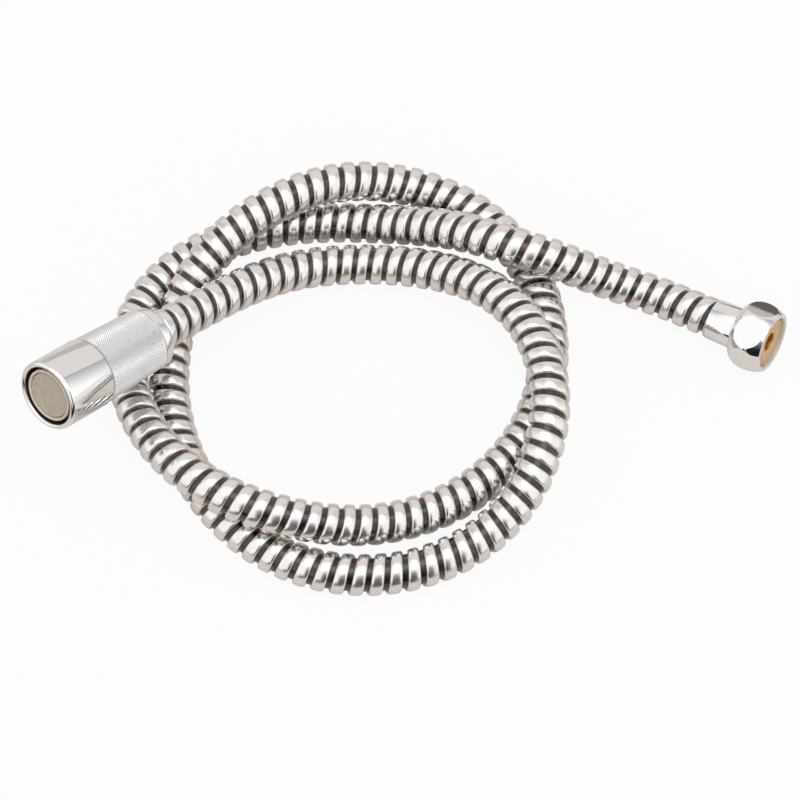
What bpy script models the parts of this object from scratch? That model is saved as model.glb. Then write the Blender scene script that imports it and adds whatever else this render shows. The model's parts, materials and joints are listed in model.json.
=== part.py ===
"""Handheld bath sprayer on a ribbed hose, lying in two loose loops.

Metres, +Z up. The origin is on the table, under the front of the outer loop, where the
hose rests. The spray head stands at the left on the strands below it, and the swivel nut
is at the right. Each end has its own axis, an empty whose +Z runs out of that end.
"""

import math

import bmesh
import bpy
from mathutils import Euler, Matrix, Vector

MM = 0.001

# Clearances
GAP = 0.3 * MM  # between pieces that touch or fit in each other
TURNING_GAP = 0.5 * MM  # round the hose and its sleeve inside the turning head

# Hose
HOSE_RADIUS = 7.8 * MM  # over the ribs
RIB_DEPTH = 1.0 * MM
RIB_PITCH = 6.6 * MM
HOSE_BORE_RADIUS = 5.3 * MM
INNER_TUBE_WALL = 1.0 * MM
TUBE_SIDES = 8
FACET = math.cos(math.pi / TUBE_SIDES)  # a faceted tube's inner radius over its outer one
BORE_STEP = 13.0 * MM  # between two points of the bore
END_RUN = 2.0 * HOSE_RADIUS  # straight for one hose diameter at each end
REST_CUT = 1.56 * MM  # cut flat by a tenth of its diameter where the hose lies

# Where the two ends lie
HEAD_REAR = Vector((-68.0, 85.0, 34.0)) * MM  # centre of the head's rear face
HEAD_YAW = math.radians(-133.5)
HEAD_PITCH = math.radians(24.0)
FERRULE_MOUTH = Vector((146.0, 103.3, 13.5)) * MM  # centre of the ferrule's rear face
NUT_YAW = math.radians(-31.0)
NUT_PITCH = math.radians(10.0)

# Centreline of the loose hose from the head to the ferrule: x, y and how far it is lifted
# from where it lies, in millimetres. It leaves the head, makes two turns and passes over
# itself in long low humps.
ROUTE = (
    (-34.5, 114.0, 13.3),
    (-6.0, 128.0, 4.3),
    (26.0, 128.0, 4.8),
    (56.0, 115.5, 12.3),
    (75.5, 92.5, 16.3),
    (81.5, 61.0, 16.8),
    (73.5, 32.5, 9.8),
    (55.0, 12.5, 2.3),
    (29.0, 1.0, 0.0),
    (0.0, 0.0, 0.0),
    (-27.0, 11.0, 0.0),
    (-48.5, 33.0, 0.0),
    (-61.0, 62.5, 0.0),
    (-62.5, 94.5, 2.8),
    (-52.5, 121.5, 11.3),
    (-32.5, 142.5, 16.8),
    (-4.5, 158.5, 14.8),
    (25.0, 163.5, 7.3),
    (53.5, 154.5, 1.8),
    (74.5, 131.0, 0.0),
    (82.5, 98.5, 0.0),
    (77.0, 66.0, 0.0),
    (59.0, 39.5, 0.3),
    (33.5, 23.0, 1.8),
    (5.0, 16.0, 7.3),
    (-23.0, 18.0, 14.3),
    (-48.5, 29.5, 16.3),
    (-71.0, 55.5, 11.8),
    (-79.5, 92.0, 4.3),
    (-67.5, 123.5, 0.3),
    (-43.0, 142.0, 0.0),
    (-12.5, 149.5, 0.3),
    (17.0, 148.5, 2.3),
    (44.0, 140.5, 11.8),
    (65.5, 131.0, 17.3),
    (87.0, 125.0, 13.8),
    (106.5, 121.0, 6.3),
)

# Spray head, from its rear face forwards
HEAD_RADIUS = 13.5 * MM
RING_RADIUS = 12.2 * MM
RING_LENGTH = 4.9 * MM
RING_WALL = 4.0 * MM  # the rear wall that the hose comes through
RING_SPIGOT = 7.2 * MM
GRIP_RADIUS = 13.3 * MM
GRIP_REAR_RADIUS = 12.3 * MM
GRIP_LENGTH = 29.5 * MM
GRIP_WALL = 1.2 * MM
COLLAR_LENGTH = 21.6 * MM
COLLAR_WALL = 1.4 * MM
COLLAR_SEAL_WIDTH = 1.2 * MM
COLLAR_SEAL_DEPTH = 0.9 * MM
COLLAR_SEAL_POSITION = 1.5 * MM  # from the collar's rear to the seal's groove
COLLAR_RECESS = 5.0 * MM
COLLAR_MOUTH_RADIUS = 11.5 * MM
LIP_THICKNESS = 1.5 * MM
EDGE_ROUND = 1.2 * MM

# Hose end inside the head
HOSE_INSERTION = 12.0 * MM
CRIMP_WALL = 1.0 * MM
FLANGE_THICKNESS = 1.0 * MM
FLANGE_RADIUS = 7.6 * MM
SHANK_RADIUS = 5.0 * MM
SHANK_LENGTH = 15.3 * MM
NIPPLE_BORE_RADIUS = 2.3 * MM
BARB_LENGTH = 14.0 * MM
BARB_DEPTH = 0.4 * MM
BARBS = 4
BARB_RISE = 0.7  # the share of a barb's length over which it rises
SEAL_POSITION = 4.7 * MM  # from the flange's front to the seal's groove
SEAL_WIDTH = 1.8 * MM
SEAL_DEPTH = 0.8 * MM
CLIP_THICKNESS = 0.8 * MM
CLIP_RADIUS = 7.2 * MM
CLIP_DEPTH = 0.9 * MM
CLIP_SLOT = 5.0 * MM

# Spray insert
BODY_CHAMBER_RADIUS = 8.6 * MM
WASHER_THICKNESS = 1.7 * MM
INSERT_FLANGE = 2.0 * MM
INSERT_SEAT_RADIUS = 9.15 * MM
INSERT_WALL = 1.05 * MM  # round the screen
INSERT_RADIUS = INSERT_SEAT_RADIUS + INSERT_WALL
INSERT_BORE_RADIUS = 7.9 * MM
INSERT_SETBACK = 0.8 * MM  # the insert's rim stands this far inside the collar's
RIM_RAISE = 0.5 * MM  # the rim round the screen stands this far above it
SCREEN_THICKNESS = 0.4 * MM
SCREEN_PITCH = 2.1 * MM
SCREEN_WIRE = 0.7 * MM
SUPPORT_THICKNESS = 1.2 * MM
SUPPORT_HOLE_RADIUS = 1.9 * MM
SUPPORT_RING_RADIUS = 5.2 * MM
DIFFUSER_THICKNESS = 1.5 * MM
DIFFUSER_HOLE_RADIUS = 0.6 * MM
DIFFUSER_RING_STEP = 2.7 * MM  # between two rings of its holes
DIFFUSER_HOLES = (1, 5, 9)  # in each ring, from the middle outwards

# Nut end, from the ferrule's mouth forwards
FERRULE_REAR_RADIUS = 7.6 * MM
FERRULE_RADIUS = 8.0 * MM
FERRULE_LENGTH = 10.4 * MM
FERRULE_FRONT_WALL = 1.2 * MM
NECK_RADIUS = 5.4 * MM
TAIL_FLANGE_RADIUS = 9.6 * MM
TAIL_FLANGE = 2.3 * MM
SLIP_RING = 0.5 * MM
NUT_TRAVEL = 4.5 * MM  # the nut slides this far forwards, until the ring meets the flange
NUT_RADIUS = 13.5 * MM
NUT_REAR_RADIUS = 8.3 * MM
NUT_FRONT_RADIUS = 11.7 * MM
NUT_CREST = 7.3 * MM  # from the nut's rear to its widest round
NUT_FLAT = 12.1 * MM  # from the axis to a flat
NUT_LENGTH = 14.6 * MM
NUT_REAR_WALL = 2.1 * MM
NUT_THREAD_RADIUS = 10.2 * MM
NUT_FACES = 6
NUT_TURN = math.radians(27.0)  # how far the flats are turned about the axis
SEALING_WASHER = 3.0 * MM
WASHER_BORE_RADIUS = 3.7 * MM

# Facets round the turned pieces
SHELL_SEGMENTS = 32
INNER_SEGMENTS = 20
SMALL_SEGMENTS = 12


def clear_scene():
    for item in list(bpy.data.objects):
        bpy.data.objects.remove(item, do_unlink=True)


def material(name, colour, roughness, metallic):
    made = bpy.data.materials.new(name)
    made.use_nodes = True
    shader = made.node_tree.nodes["Principled BSDF"]
    shader.inputs["Base Color"].default_value = (*colour, 1.0)
    shader.inputs["Roughness"].default_value = roughness
    shader.inputs["Metallic"].default_value = metallic
    return made


def add_object(name, mesh, finish, parent=None):
    made = bpy.data.objects.new(name, mesh)
    bpy.context.scene.collection.objects.link(made)
    made.parent = parent
    if finish:
        mesh.materials.append(finish)
    return made


def axis_empty(name, place, yaw, pitch):
    """An empty whose +Z points along an end's axis."""
    made = bpy.data.objects.new(name, None)
    bpy.context.scene.collection.objects.link(made)
    made.location = place
    made.rotation_euler = Euler((0.0, math.pi / 2 - pitch, yaw), "XYZ")
    return made


def axis_direction(yaw, pitch):
    level = math.cos(pitch)
    return Vector((level * math.cos(yaw), level * math.sin(yaw), math.sin(pitch)))


def smooth(mesh):
    mesh.shade_smooth()
    mesh.set_sharp_from_angle(angle=math.radians(35))


def turned(name, profile, segments, finish, parent):
    """A piece turned round its parent's Z axis from a closed outline of (radius, height)."""
    shape = bmesh.new()
    corners = [shape.verts.new((radius, 0.0, height)) for radius, height in profile]
    edges = [shape.edges.new((corners[i - 1], corners[i])) for i in range(len(corners))]
    bmesh.ops.spin(
        shape,
        geom=corners + edges,
        cent=(0.0, 0.0, 0.0),
        axis=(0.0, 0.0, 1.0),
        angle=2 * math.pi,
        steps=segments,
        use_merge=True,
    )
    bmesh.ops.remove_doubles(shape, verts=shape.verts, dist=0.00001)
    bmesh.ops.recalc_face_normals(shape, faces=shape.faces)
    mesh = bpy.data.meshes.new(name)
    shape.to_mesh(mesh)
    shape.free()
    smooth(mesh)
    return add_object(name, mesh, finish, parent)


def tube_profile(inner, outer, low, high, chamfer=0.0):
    """The outline of a plain ring, with its outer edges chamfered where asked."""
    if chamfer:
        return [
            (inner, low),
            (outer - chamfer, low),
            (outer, low + chamfer),
            (outer, high - chamfer),
            (outer - chamfer, high),
            (inner, high),
        ]
    return [(inner, low), (outer, low), (outer, high), (inner, high)]


def cylinders(name, circles, low, high, segments, parent):
    """A cutter of separate round pegs, one for each (x, y, radius)."""
    shape = bmesh.new()
    for x, y, radius in circles:
        made = bmesh.ops.create_cone(
            shape,
            cap_ends=True,
            segments=segments,
            radius1=radius,
            radius2=radius,
            depth=high - low,
        )
        bmesh.ops.translate(shape, verts=made["verts"], vec=(x, y, (low + high) / 2))
    mesh = bpy.data.meshes.new(name)
    shape.to_mesh(mesh)
    shape.free()
    return cutter(add_object(name, mesh, None, parent))


def boxes(name, centres, size, parent):
    """A cutter of separate boxes of one size."""
    shape = bmesh.new()
    for centre in centres:
        made = bmesh.ops.create_cube(shape, size=1.0)
        bmesh.ops.scale(shape, verts=made["verts"], vec=size)
        bmesh.ops.translate(shape, verts=made["verts"], vec=centre)
    mesh = bpy.data.meshes.new(name)
    shape.to_mesh(mesh)
    shape.free()
    return cutter(add_object(name, mesh, None, parent))


def cutter(made):
    made.hide_render = True
    made.display_type = "WIRE"
    return made


def boolean(target, tool, operation="DIFFERENCE"):
    modifier = target.modifiers.new(tool.name, "BOOLEAN")
    modifier.operation = operation
    modifier.object = tool


# The hose's line


def smooth_curve(points, start_direction, end_direction, steps):
    """Points on a smooth curve through the given ones, which leaves and arrives as told."""
    count = len(points)
    speeds = [Vector()] * count
    speeds[0] = start_direction * (points[1] - points[0]).length
    speeds[-1] = end_direction * (points[-1] - points[-2]).length
    # Each inner point's speed makes the bending run on through it.
    ratio = [0.0] * count
    carried = [speeds[0]] * count
    for i in range(1, count - 1):
        share = 4.0 - ratio[i - 1]
        ratio[i] = 1.0 / share
        carried[i] = (3.0 * (points[i + 1] - points[i - 1]) - carried[i - 1]) / share
    for i in range(count - 2, 0, -1):
        speeds[i] = carried[i] - ratio[i] * speeds[i + 1]
    line = []
    for i in range(count - 1):
        for k in range(steps):
            t = k / steps
            line.append(
                points[i] * (1 + 2 * t) * (1 - t) ** 2
                + speeds[i] * t * (1 - t) ** 2
                + points[i + 1] * t * t * (3 - 2 * t)
                - speeds[i + 1] * t * t * (1 - t)
            )
    line.append(points[-1])
    return line


def hose_line():
    """The hose's centreline from its end in the head to its end at the ferrule."""
    forwards = axis_direction(HEAD_YAW, HEAD_PITCH)
    outwards = axis_direction(NUT_YAW, NUT_PITCH)
    head_end = HEAD_REAR + forwards * HOSE_INSERTION
    nut_end = FERRULE_MOUTH - outwards * GAP
    start = head_end - forwards * END_RUN
    finish = nut_end - outwards * END_RUN
    lying = Vector((0.0, 0.0, HOSE_RADIUS - REST_CUT))
    points = [start] + [lying + Vector(point) * MM for point in ROUTE] + [finish]
    return [head_end] + smooth_curve(points, -forwards, outwards, 16) + [nut_end]


def lengths_along(line):
    travelled = [0.0]
    for before, after in zip(line, line[1:]):
        travelled.append(travelled[-1] + (after - before).length)
    return travelled


def resampled(line, stations):
    """The points of a line at the given distances from its start."""
    travelled = lengths_along(line)
    found = []
    i = 0
    for station in stations:
        while i < len(line) - 2 and travelled[i + 1] < station:
            i += 1
        share = (station - travelled[i]) / (travelled[i + 1] - travelled[i])
        found.append(line[i].lerp(line[i + 1], share))
    return found


def tube_mesh(name, points, radii):
    """The mesh of a tube through points, with its own radius at each."""
    curve = bpy.data.curves.new(name, "CURVE")
    curve.dimensions = "3D"
    curve.bevel_depth = 1.0
    curve.bevel_resolution = TUBE_SIDES // 2 - 2
    curve.use_fill_caps = True
    spline = curve.splines.new("POLY")
    spline.points.add(len(points) - 1)
    for target, place, radius in zip(spline.points, points, radii):
        target.co = (*place, 1.0)
        target.radius = radius
    holder = bpy.data.objects.new(name, curve)
    bpy.context.scene.collection.objects.link(holder)
    bpy.context.view_layer.update()
    evaluated = holder.evaluated_get(bpy.context.evaluated_depsgraph_get())
    mesh = bpy.data.meshes.new_from_object(evaluated)
    bpy.data.objects.remove(holder, do_unlink=True)
    return mesh


def extended(points, extra):
    """The same line, longer by extra at both ends."""
    first = points[0] + (points[0] - points[1]).normalized() * extra
    last = points[-1] + (points[-1] - points[-2]).normalized() * extra
    return [first] + points[1:-1] + [last]


def report_least_gap(points, travelled):
    """Measures how near the hose comes to itself, from surface to surface."""
    apart = 6.0 * HOSE_RADIUS
    least = min(
        (points[i] - points[j]).length
        for i in range(len(points))
        for j in range(i + 1, len(points))
        if travelled[j] - travelled[i] > apart
    )
    gap = least - 2 * HOSE_RADIUS
    print(f"hose length {travelled[-1] / MM:.0f} mm, ribs {len(points) // 2}")
    print(f"least gap of the hose to itself {gap / MM:.2f} mm")


def make_hose(finishes):
    line = hose_line()
    total = lengths_along(line)[-1]
    ribs = round(total / RIB_PITCH)
    stations = [total * k / (2 * ribs) for k in range(2 * ribs + 1)]
    ribbed = resampled(line, stations)
    report_least_gap(ribbed, stations)
    radii = [HOSE_RADIUS - RIB_DEPTH * (1 - k % 2) for k in range(len(ribbed))]
    hose = add_object("hose", tube_mesh("hose", ribbed, radii), finishes["hose"])

    steps = math.ceil(total / BORE_STEP)
    plain = resampled(line, [total * k / steps for k in range(steps + 1)])
    bore = tube_mesh("hose_bore", extended(plain, GAP * 2), [HOSE_BORE_RADIUS] * len(plain))
    boolean(hose, cutter(add_object("hose_bore", bore, None)))
    low, high = table_corners(ribbed)
    middle = (low + high) / 2
    table = boxes("table_cut", [middle], high - low, None)
    boolean(hose, table)

    # The inner tube runs on into the ferrule, on the same line.
    outwards = axis_direction(NUT_YAW, NUT_PITCH)
    reach = GAP + FERRULE_LENGTH - FERRULE_FRONT_WALL - GAP
    inner = plain[:-1] + [plain[-1] + outwards * reach]
    outer_radius = HOSE_BORE_RADIUS - GAP / FACET
    wall_radius = outer_radius - INNER_TUBE_WALL
    body = tube_mesh("inner_tube", inner, [outer_radius] * len(inner))
    tube = add_object("inner_tube", body, finishes["tube"])
    water = tube_mesh("inner_tube_bore", extended(inner, GAP * 2), [wall_radius] * len(inner))
    boolean(tube, cutter(add_object("inner_tube_bore", water, None)))


def table_corners(points):
    """The box below the table that flattens the hose where it lies."""
    margin = 2.0 * HOSE_RADIUS
    low = Vector(min(point[k] for point in points) - margin for k in range(3))
    high = Vector(max(point[k] for point in points) + margin for k in range(3))
    low.z = -margin
    high.z = 0.0
    return low, high


# Hose fittings


def inner_tube_grip_radius():
    """The largest round barb that fits the faceted bore of the inner tube."""
    outer_radius = HOSE_BORE_RADIUS - GAP / FACET
    return (outer_radius - INNER_TUBE_WALL) * FACET - GAP


def barbs(low, high):
    """The saw-toothed outside of a nipple, from low to high."""
    crest = inner_tube_grip_radius()
    root = crest - BARB_DEPTH
    pitch = (high - low) / BARBS
    outline = []
    for k in range(BARBS):
        outline.append((root, low + k * pitch))
        outline.append((crest, low + (k + BARB_RISE) * pitch))
    outline.append((root, high))
    return outline


def head_stations():
    """Heights of the hose end's pieces along the head's axis."""
    flange = HOSE_INSERTION + GAP
    front = flange + FLANGE_THICKNESS
    sleeve_front = front + GAP + CRIMP_WALL
    body_rear = sleeve_front + GAP
    seal = front + SEAL_POSITION
    tip = front + SHANK_LENGTH
    clip_groove = tip - FLANGE_THICKNESS - CLIP_THICKNESS - 2 * GAP
    return flange, front, sleeve_front, body_rear, seal, clip_groove, tip


def make_head_nipple(finishes, head):
    flange, front, sleeve_front, _, seal, clip_groove, tip = head_stations()
    groove = SHANK_RADIUS - SEAL_DEPTH - GAP
    clip_root = SHANK_RADIUS - CLIP_DEPTH
    seal_high = seal + SEAL_WIDTH + 2 * GAP
    clip_high = clip_groove + CLIP_THICKNESS + 2 * GAP
    profile = [(NIPPLE_BORE_RADIUS, flange - BARB_LENGTH)]
    profile += barbs(flange - BARB_LENGTH, flange)
    profile += [
        (FLANGE_RADIUS, flange),
        (FLANGE_RADIUS, front),
        (SHANK_RADIUS, front),
        (SHANK_RADIUS, seal),
        (groove, seal),
        (groove, seal_high),
        (SHANK_RADIUS, seal_high),
        (SHANK_RADIUS, clip_groove),
        (clip_root, clip_groove),
        (clip_root, clip_high),
        (SHANK_RADIUS, clip_high),
        (SHANK_RADIUS, tip),
        (NIPPLE_BORE_RADIUS, tip),
    ]
    turned("head_nipple", profile, SMALL_SEGMENTS, finishes["brass"], head)

    seal_low = seal + GAP
    ring = tube_profile(
        groove + GAP, SHANK_RADIUS, seal_low, seal_low + SEAL_WIDTH, SEAL_DEPTH * 0.3
    )
    turned("nipple_o_ring", ring, INNER_SEGMENTS, finishes["rubber"], head)

    clip_low = clip_groove + GAP
    clip = turned(
        "nipple_clip",
        tube_profile(clip_root + GAP, CLIP_RADIUS, clip_low, clip_low + CLIP_THICKNESS),
        INNER_SEGMENTS,
        finishes["steel"],
        head,
    )
    middle = Vector((CLIP_RADIUS, 0.0, clip_low))
    slot = Vector((2 * CLIP_RADIUS, CLIP_SLOT, 4 * CLIP_THICKNESS))
    boolean(clip, boxes("clip_slot", [middle], slot, head))

    inner = HOSE_RADIUS + GAP
    outer = inner + CRIMP_WALL
    low = RING_WALL + GAP
    sleeve = [
        (inner, low),
        (outer, low),
        (outer, sleeve_front),
        (SHANK_RADIUS + GAP, sleeve_front),
        (SHANK_RADIUS + GAP, front + GAP),
        (inner, front + GAP),
    ]
    turned("head_crimp_sleeve", sleeve, INNER_SEGMENTS, finishes["steel"], head)


# Spray head shells


def shell_stations():
    """Heights where the grip and the collar begin and end, and of the collar's seal."""
    grip_low = RING_LENGTH + GAP
    grip_high = grip_low + GRIP_LENGTH
    collar_low = grip_high + GAP
    seal_low = collar_low + COLLAR_SEAL_POSITION
    return grip_low, grip_high, collar_low, seal_low, collar_low + COLLAR_LENGTH


def insert_stations():
    """Heights of the collar's lip, the insert's flange, its washer and the body's nose."""
    collar_high = shell_stations()[-1]
    lip_high = collar_high - COLLAR_RECESS
    lip_low = lip_high - LIP_THICKNESS
    flange_high = lip_low - GAP
    flange_low = flange_high - INSERT_FLANGE
    washer_high = flange_low - GAP
    washer_low = washer_high - WASHER_THICKNESS
    return lip_high, lip_low, flange_high, flange_low, washer_high, washer_low, washer_low - GAP


def body_radius():
    """The body's radius inside the grip."""
    return GRIP_REAR_RADIUS - GRIP_WALL - GAP


def body_front_radius():
    """The radius of the body, and of the insert's flange, inside the collar."""
    return HEAD_RADIUS - COLLAR_WALL - GAP


def make_head_shells(finishes, head):
    grip_low, grip_high, collar_low, seal_low, collar_high = shell_stations()
    body = body_radius()
    inner = HOSE_RADIUS + GAP + CRIMP_WALL + TURNING_GAP
    spigot = RING_LENGTH + RING_SPIGOT
    ring = [
        (HOSE_RADIUS + TURNING_GAP, 0.0),
        (RING_RADIUS - EDGE_ROUND, 0.0),
        (RING_RADIUS - EDGE_ROUND * 0.3, EDGE_ROUND * 0.3),
        (RING_RADIUS, EDGE_ROUND),
        (RING_RADIUS, RING_LENGTH),
        (body, RING_LENGTH),
        (body, spigot),
        (inner, spigot),
        (inner, RING_WALL),
        (HOSE_RADIUS + TURNING_GAP, RING_WALL),
    ]
    turned("rear_ring", ring, SHELL_SEGMENTS, finishes["chrome"], head)

    grip = [
        (body + GAP, grip_low),
        (GRIP_REAR_RADIUS, grip_low),
        (GRIP_RADIUS, grip_high),
        (body + GAP, grip_high),
    ]
    turned("grip_sleeve", grip, SHELL_SEGMENTS, finishes["satin"], head)

    seal_outer = body_front_radius()
    seal = tube_profile(
        seal_outer - COLLAR_SEAL_DEPTH,
        seal_outer,
        seal_low + GAP,
        seal_low + GAP + COLLAR_SEAL_WIDTH,
        COLLAR_SEAL_DEPTH * 0.3,
    )
    turned("collar_o_ring", seal, INNER_SEGMENTS, finishes["rubber"], head)

    lip_high, lip_low = insert_stations()[:2]
    socket = HEAD_RADIUS - COLLAR_WALL
    collar = [
        (socket, collar_low),
        (HEAD_RADIUS - GAP, collar_low),
        (HEAD_RADIUS, collar_low + GAP),
        (HEAD_RADIUS, collar_high - EDGE_ROUND),
        (HEAD_RADIUS - EDGE_ROUND * 0.3, collar_high - EDGE_ROUND * 0.3),
        (HEAD_RADIUS - EDGE_ROUND, collar_high),
        (COLLAR_MOUTH_RADIUS, collar_high),
        (COLLAR_MOUTH_RADIUS, lip_high),
        (INSERT_RADIUS + GAP, lip_high),
        (INSERT_RADIUS + GAP, lip_low),
        (socket, lip_low),
    ]
    turned("front_collar", collar, SHELL_SEGMENTS, finishes["chrome"], head)


def make_head_body(finishes, head):
    _, _, _, rear, _, clip_groove, _ = head_stations()
    _, _, collar_low, seal_low, _ = shell_stations()
    nose = insert_stations()[-1]
    front = body_front_radius()
    groove = front - COLLAR_SEAL_DEPTH - GAP
    seal_high = seal_low + COLLAR_SEAL_WIDTH + 2 * GAP
    seat = SHANK_RADIUS + GAP
    profile = [
        (seat, rear),
        (body_radius(), rear),
        (body_radius(), collar_low),
        (front, collar_low),
        (front, seal_low),
        (groove, seal_low),
        (groove, seal_high),
        (front, seal_high),
        (front, nose),
        (BODY_CHAMBER_RADIUS, nose),
        (BODY_CHAMBER_RADIUS, clip_groove),
        (seat, clip_groove),
    ]
    turned("head_body", profile, INNER_SEGMENTS, finishes["brass"], head)


def make_insert(finishes, head):
    _, _, flange_high, flange_low, washer_high, washer_low, _ = insert_stations()
    collar_high = shell_stations()[-1]
    flange_radius = body_front_radius()
    washer = tube_profile(BODY_CHAMBER_RADIUS + GAP, flange_radius, washer_low, washer_high)
    turned("insert_washer", washer, INNER_SEGMENTS, finishes["rubber"], head)

    rim = collar_high - INSERT_SETBACK
    screen_high = rim - RIM_RAISE
    screen_low = screen_high - SCREEN_THICKNESS
    support_high = screen_low - GAP
    support_low = support_high - SUPPORT_THICKNESS
    ledge = support_low - GAP
    round_edge = (INSERT_RADIUS - INSERT_SEAT_RADIUS) * 0.25
    ring = [
        (INSERT_BORE_RADIUS, flange_low),
        (flange_radius, flange_low),
        (flange_radius, flange_high),
        (INSERT_RADIUS, flange_high),
        (INSERT_RADIUS, rim - round_edge),
        (INSERT_RADIUS - round_edge, rim),
        (INSERT_SEAT_RADIUS, rim),
        (INSERT_SEAT_RADIUS, ledge),
        (INSERT_BORE_RADIUS, ledge),
    ]
    turned("insert_ring", ring, SHELL_SEGMENTS - 8, finishes["peach"], head)

    disc = INSERT_SEAT_RADIUS - GAP
    make_screen(disc, screen_low, screen_high, finishes, head)
    around = [(6, SUPPORT_RING_RADIUS), (1, 0.0)]
    holes = [(*spot, SUPPORT_HOLE_RADIUS) for spot in circles_of_spots(around)]
    perforated("screen_support", disc, support_low, support_high, holes, 8, finishes["plastic"], head)
    around = [(count, ring * DIFFUSER_RING_STEP) for ring, count in enumerate(DIFFUSER_HOLES)]
    holes = [(*spot, DIFFUSER_HOLE_RADIUS) for spot in circles_of_spots(around)]
    plate_low = flange_low + INSERT_FLANGE / 2
    plate_high = plate_low + DIFFUSER_THICKNESS
    plate = INSERT_BORE_RADIUS - GAP
    perforated("diffuser_plate", plate, plate_low, plate_high, holes, 6, finishes["plastic"], head)


def circles_of_spots(rings):
    """Evenly spaced (x, y) on rings given as (count, radius)."""
    spots = []
    for count, radius in rings:
        for k in range(count):
            turn = 2 * math.pi * k / count
            spots.append((radius * math.cos(turn), radius * math.sin(turn)))
    return spots


def disc_object(name, radius, low, high, finish, head):
    shape = bmesh.new()
    bmesh.ops.create_cone(
        shape,
        cap_ends=True,
        segments=INNER_SEGMENTS,
        radius1=radius,
        radius2=radius,
        depth=high - low,
    )
    bmesh.ops.translate(shape, verts=shape.verts, vec=(0.0, 0.0, (low + high) / 2))
    mesh = bpy.data.meshes.new(name)
    shape.to_mesh(mesh)
    shape.free()
    return add_object(name, mesh, finish, head)


def perforated(name, radius, low, high, holes, sides, finish, head):
    plate = disc_object(name, radius, low, high, finish, head)
    thick = high - low
    pegs = cylinders(name + "_holes", holes, low - thick, high + thick, sides, head)
    boolean(plate, pegs)


def make_screen(radius, low, high, finishes, head):
    """The wire screen: a disc with a square hole between every four wires."""
    plate = disc_object("spray_screen", radius, low, high, finishes["screen"], head)
    hole = SCREEN_PITCH - SCREEN_WIRE
    reach = radius - SCREEN_WIRE
    spots = []
    count = int(reach / SCREEN_PITCH)
    for i in range(-count, count + 1):
        for j in range(-count, count + 1):
            corner = (abs(i) * SCREEN_PITCH + hole / 2, abs(j) * SCREEN_PITCH + hole / 2)
            if math.hypot(*corner) < reach:
                spots.append((i * SCREEN_PITCH, j * SCREEN_PITCH, (low + high) / 2))
    size = Vector((hole, hole, 3 * (high - low)))
    boolean(plate, boxes("screen_holes", spots, size, head))


# Nut end


def nut_stations():
    """Heights of the nut end's pieces along its axis."""
    nut_low = FERRULE_LENGTH + GAP
    shoulder = nut_low + NUT_REAR_WALL
    slip_low = shoulder + GAP
    flange_low = slip_low + SLIP_RING + NUT_TRAVEL + GAP
    flange_high = flange_low + TAIL_FLANGE
    washer_low = flange_high + GAP
    return nut_low, shoulder, slip_low, flange_low, flange_high, washer_low, nut_low + NUT_LENGTH


def make_nut_end(finishes, nut):
    nut_low, shoulder, slip_low, flange_low, flange_high, washer_low, mouth = nut_stations()
    tube_seat = HOSE_BORE_RADIUS
    wall = FERRULE_LENGTH - FERRULE_FRONT_WALL
    edge = GAP * 2
    neck_hole = inner_tube_grip_radius() + GAP
    ferrule = [
        (tube_seat, 0.0),
        (FERRULE_REAR_RADIUS - edge, 0.0),
        (FERRULE_REAR_RADIUS, edge),
        (FERRULE_RADIUS, FERRULE_LENGTH - edge),
        (FERRULE_RADIUS - edge, FERRULE_LENGTH),
        (neck_hole, FERRULE_LENGTH),
        (neck_hole, wall),
        (tube_seat, wall),
    ]
    turned("ferrule", ferrule, SHELL_SEGMENTS - 8, finishes["chrome"], nut)

    crest = inner_tube_grip_radius()
    barb_high = wall - GAP
    barb_low = barb_high - BARB_LENGTH
    tail = [(NIPPLE_BORE_RADIUS, barb_low)]
    tail += barbs(barb_low, barb_high)
    tail += [
        (crest, barb_high),
        (crest, FERRULE_LENGTH + GAP),
        (NECK_RADIUS, FERRULE_LENGTH + GAP),
        (NECK_RADIUS, flange_low),
        (TAIL_FLANGE_RADIUS, flange_low),
        (TAIL_FLANGE_RADIUS, flange_high),
        (NIPPLE_BORE_RADIUS, flange_high),
    ]
    turned("tail_nipple", tail, SMALL_SEGMENTS, finishes["brass"], nut)

    slip = tube_profile(NECK_RADIUS + GAP, TAIL_FLANGE_RADIUS, slip_low, slip_low + SLIP_RING)
    turned("slip_ring", slip, INNER_SEGMENTS, finishes["plastic"], nut)

    washer = tube_profile(
        WASHER_BORE_RADIUS, NUT_THREAD_RADIUS - GAP, washer_low, washer_low + SEALING_WASHER
    )
    turned("sealing_washer", washer, INNER_SEGMENTS, finishes["tan"], nut)
    make_swivel_nut(finishes, nut, nut_low, shoulder, mouth)


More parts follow.
